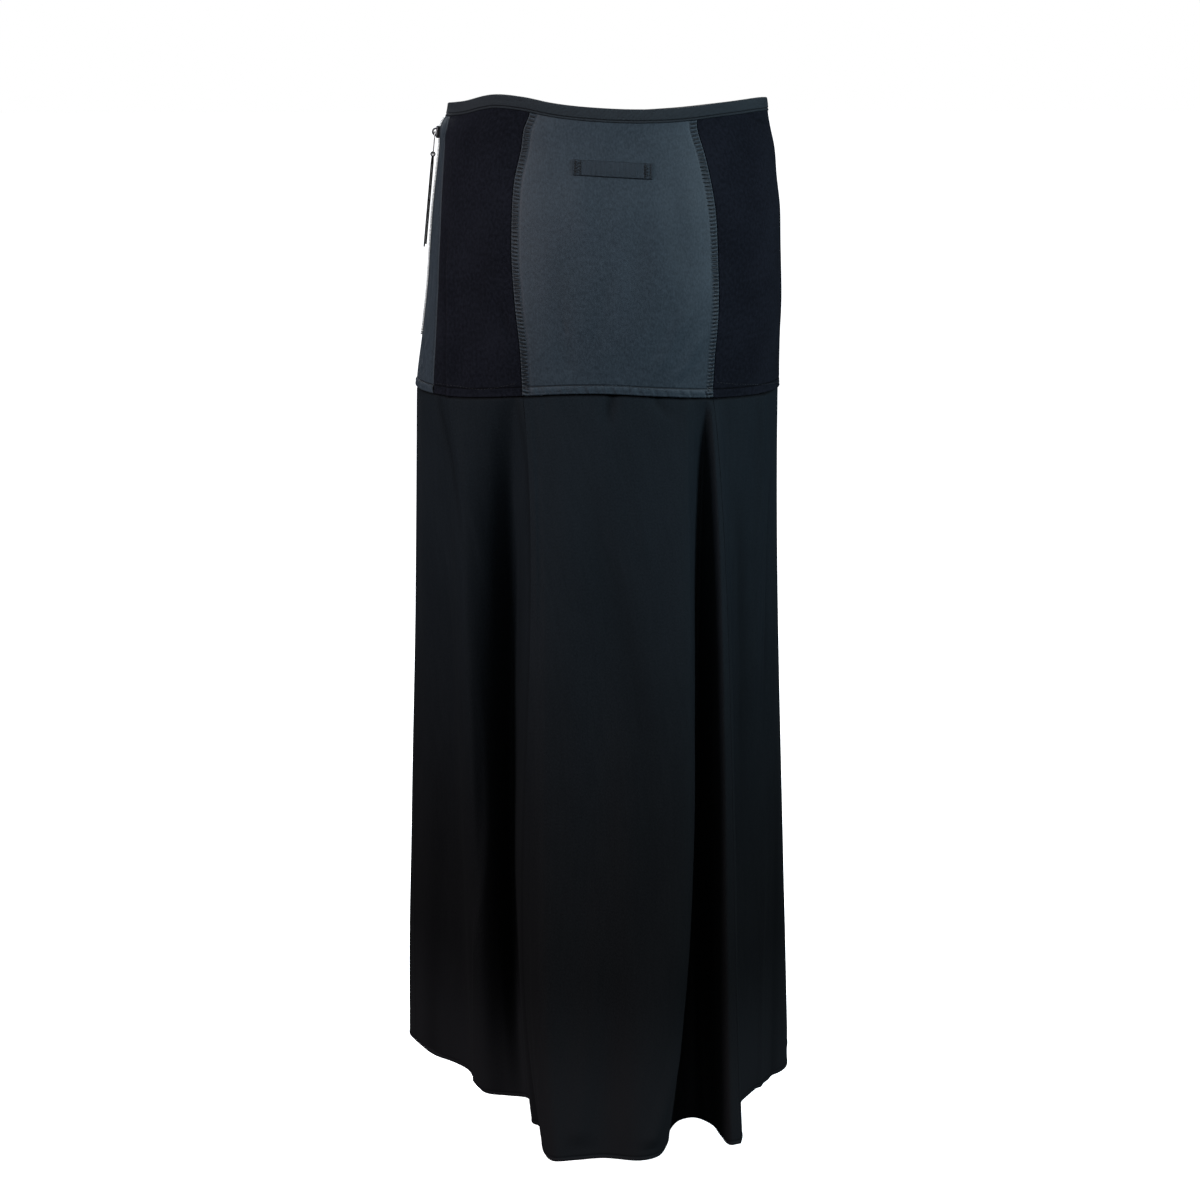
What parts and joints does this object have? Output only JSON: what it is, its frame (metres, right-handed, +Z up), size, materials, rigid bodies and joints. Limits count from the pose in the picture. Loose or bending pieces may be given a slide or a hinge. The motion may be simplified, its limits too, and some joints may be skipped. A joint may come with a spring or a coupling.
{
  "type": "maxi skirt",
  "caption": "Long dark skirt in its worn, hollow form: fitted yoke with satin panels and a side zip, and a flared skirt with a deep fold at the back.",
  "frame": {"origin": "middle of the waist opening, level with the top of the waistband, where the wearer's waist holds the skirt", "axes": "+Z up; the wearer faces -Y, so the back of the skirt faces +Y; the wearer's left side, with the zip, is +X"},
  "size_m": [0.3658, 0.4446, 0.9076],
  "materials": {
    "satin": "soft satin sheen",
    "jersey": "matte",
    "crepe": "matte crepe",
    "ribbon": "ribbed",
    "tape": "woven",
    "metal": "polished",
    "strip": "smooth"
  },
  "bodies": {
    "skirt": {"waistband": "ribbon", "yoke_back_centre": "satin", "side_panel_back": "satin", "side_panel_front": "satin", "yoke_back_left": "jersey", "yoke_back_right": "jersey", "yoke_front": "jersey", "back_tab": "ribbon", "lower_back_left": "crepe", "lower_back_centre": "crepe", "lower_back_right": "crepe", "lower_front": "crepe", "zip_tape_back": "tape", "zip_tape_front": "tape", "zip_chain": "metal", "zip_slider": "metal"},
    "zip_pull": {"zip_pull_wire": "metal", "zip_pull_strip": "strip"}
  },
  "joints": [
    {"name": "zip_pull_hinge", "type": "hinge", "parent": "skirt", "child": "zip_pull", "pos_m": [0.15552, 0, -0.02867], "axis": [0, -1, 0], "range_deg": [0, 150]}
  ]
}
